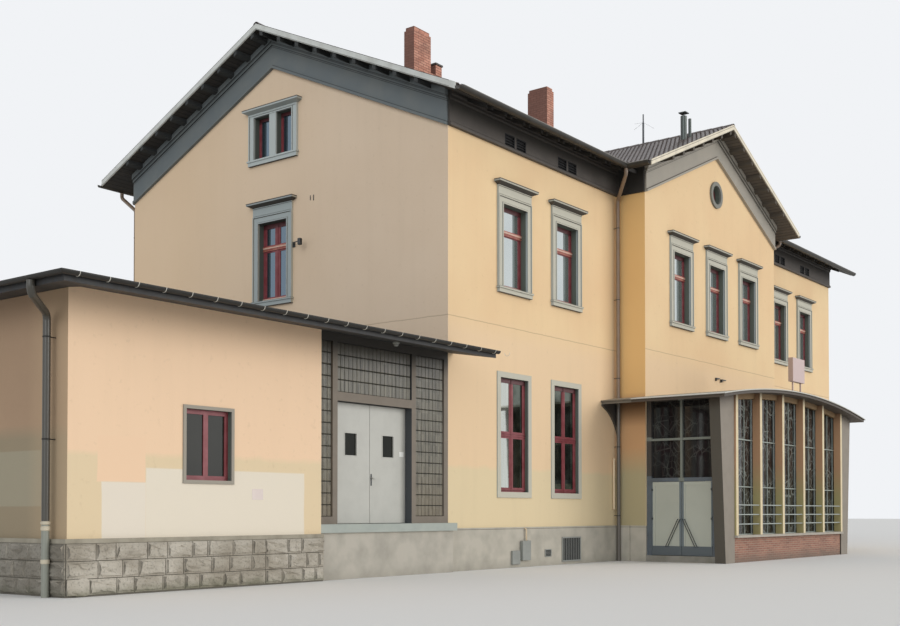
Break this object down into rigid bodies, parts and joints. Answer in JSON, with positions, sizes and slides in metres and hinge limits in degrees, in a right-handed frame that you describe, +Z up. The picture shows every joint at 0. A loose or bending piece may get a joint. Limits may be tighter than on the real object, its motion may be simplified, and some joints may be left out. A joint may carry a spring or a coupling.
{
  "type": "railway station building",
  "caption": "Two-storey gabled station building with a projecting front bay, a low annex with a goods dock, and a vaulted glass entrance vestibule; four door leaves open.",
  "frame": {"origin": "middle of the building's outline at ground level", "axes": "+X along the street front, annex end to far gable; +Y into the depth; +Z up"},
  "size_m": [37.984, 16.649, 16.65],
  "materials": {
    "ochre_render": "matt wall render, painted ochre",
    "peach_render": "matt wall render, painted peach",
    "plinth_cement": "grey cement plinth",
    "quarry_stone": "rock-faced stone courses",
    "grey_paint": "grey painted trim",
    "verge_white": "white painted verge boards",
    "roof_tile": "dark brown pantiles",
    "sheet_zinc": "weathered zinc sheet",
    "brick": "red brick",
    "window_red": "dark red painted window joinery",
    "window_glass": "clear glass before dark rooms",
    "glass_block": "ribbed glass blocks",
    "taupe_concrete": "painted concrete frame",
    "ledge_paint": "painted concrete ledge",
    "door_grey": "light grey steel doors",
    "frame_steel": "dark grey steel sections",
    "fin_cream": "cream painted concrete fins",
    "concrete_floor": "plain concrete slab",
    "sign_pale": "blank pale sign panel",
    "flue_steel": "bare steel flue",
    "mast_steel": "dark steel mast"
  },
  "bodies": {
    "building": {"annex_end_wall": "peach_render", "annex_floor": "concrete_floor", "annex_long_walls": "peach_render", "annex_plinth_end": "quarry_stone", "annex_plinth_long_sides": "quarry_stone", "annex_roof": "sheet_zinc", "antenna_mast": "mast_steel", "attic_floor": "concrete_floor", "back_wall": "ochre_render", "block_frame_head": "taupe_concrete", "block_frames_side": "taupe_concrete", "brick_base": "brick", "canopy_brackets": "frame_steel", "chimneys": "brick", "dock_ledge": "ledge_paint", "dock_plinth": "plinth_cement", "door_hinges": "mast_steel", "downpipes": "sheet_zinc", "eaves_friezes": "grey_paint", "eaves_gutters": "sheet_zinc", "first_floor": "concrete_floor", "fixed_side_doors": "frame_steel", "flues": "flue_steel", "gable_wall_left": "ochre_render", "gable_wall_right": "ochre_render", "glass_blocks": "glass_block", "glazing_frames": "frame_steel", "ground_floor": "concrete_floor", "guard_rails": "frame_steel", "lower_window_frames": "window_red", "mullion_fins": "fin_cream", "plinth_cross_sides": "plinth_cement", "plinth_long_sides": "plinth_cement", "portal_piers": "taupe_concrete", "rake_friezes": "grey_paint", "risalit_front_piers": "ochre_render", "risalit_front_wall": "ochre_render", "risalit_roof_left": "roof_tile", "risalit_roof_right": "roof_tile", "risalit_side_walls": "ochre_render", "roof_back": "roof_tile", "roof_front": "roof_tile", "screen_posts": "frame_steel", "screen_windows": "frame_steel", "sign_box": "sign_pale", "upper_window_frames": "window_red", "vault_roof": "sheet_zinc", "verge_boards": "verge_white", "vestibule_floor": "concrete_floor", "vestibule_glass": "window_glass", "window_glass": "window_glass", "window_sill": "taupe_concrete", "window_surrounds": "grey_paint", "wing_front_walls": "ochre_render"},
    "goods_leaf_left": {"goods_door_left": "door_grey", "goods_door_pane_left": "window_glass"},
    "goods_leaf_right": {"goods_door_right": "door_grey", "goods_door_pane_right": "window_glass"},
    "entrance_leaf_left": {"entrance_door_left": "frame_steel"},
    "entrance_leaf_right": {"entrance_door_right": "frame_steel"}
  },
  "joints": [
    {"name": "goods_door_left_hinge", "type": "hinge", "parent": "building", "child": "goods_leaf_left", "pos_m": [-11.283, -4.2435, 1.17], "axis": [0, 0, 1], "range_deg": [0, 100]},
    {"name": "goods_door_right_hinge", "type": "hinge", "parent": "building", "child": "goods_leaf_right", "pos_m": [-8.825, -4.2435, 1.17], "axis": [0, 0, -1], "range_deg": [0, 100]},
    {"name": "entrance_door_left_hinge", "type": "hinge", "parent": "building", "child": "entrance_leaf_left", "pos_m": [0.704, -5.6115, 0.19], "axis": [0, 0, -1], "range_deg": [0, 90]},
    {"name": "entrance_door_right_hinge", "type": "hinge", "parent": "building", "child": "entrance_leaf_right", "pos_m": [0.704, -7.4745, 0.19], "axis": [0, 0, 1], "range_deg": [0, 90]}
  ]
}
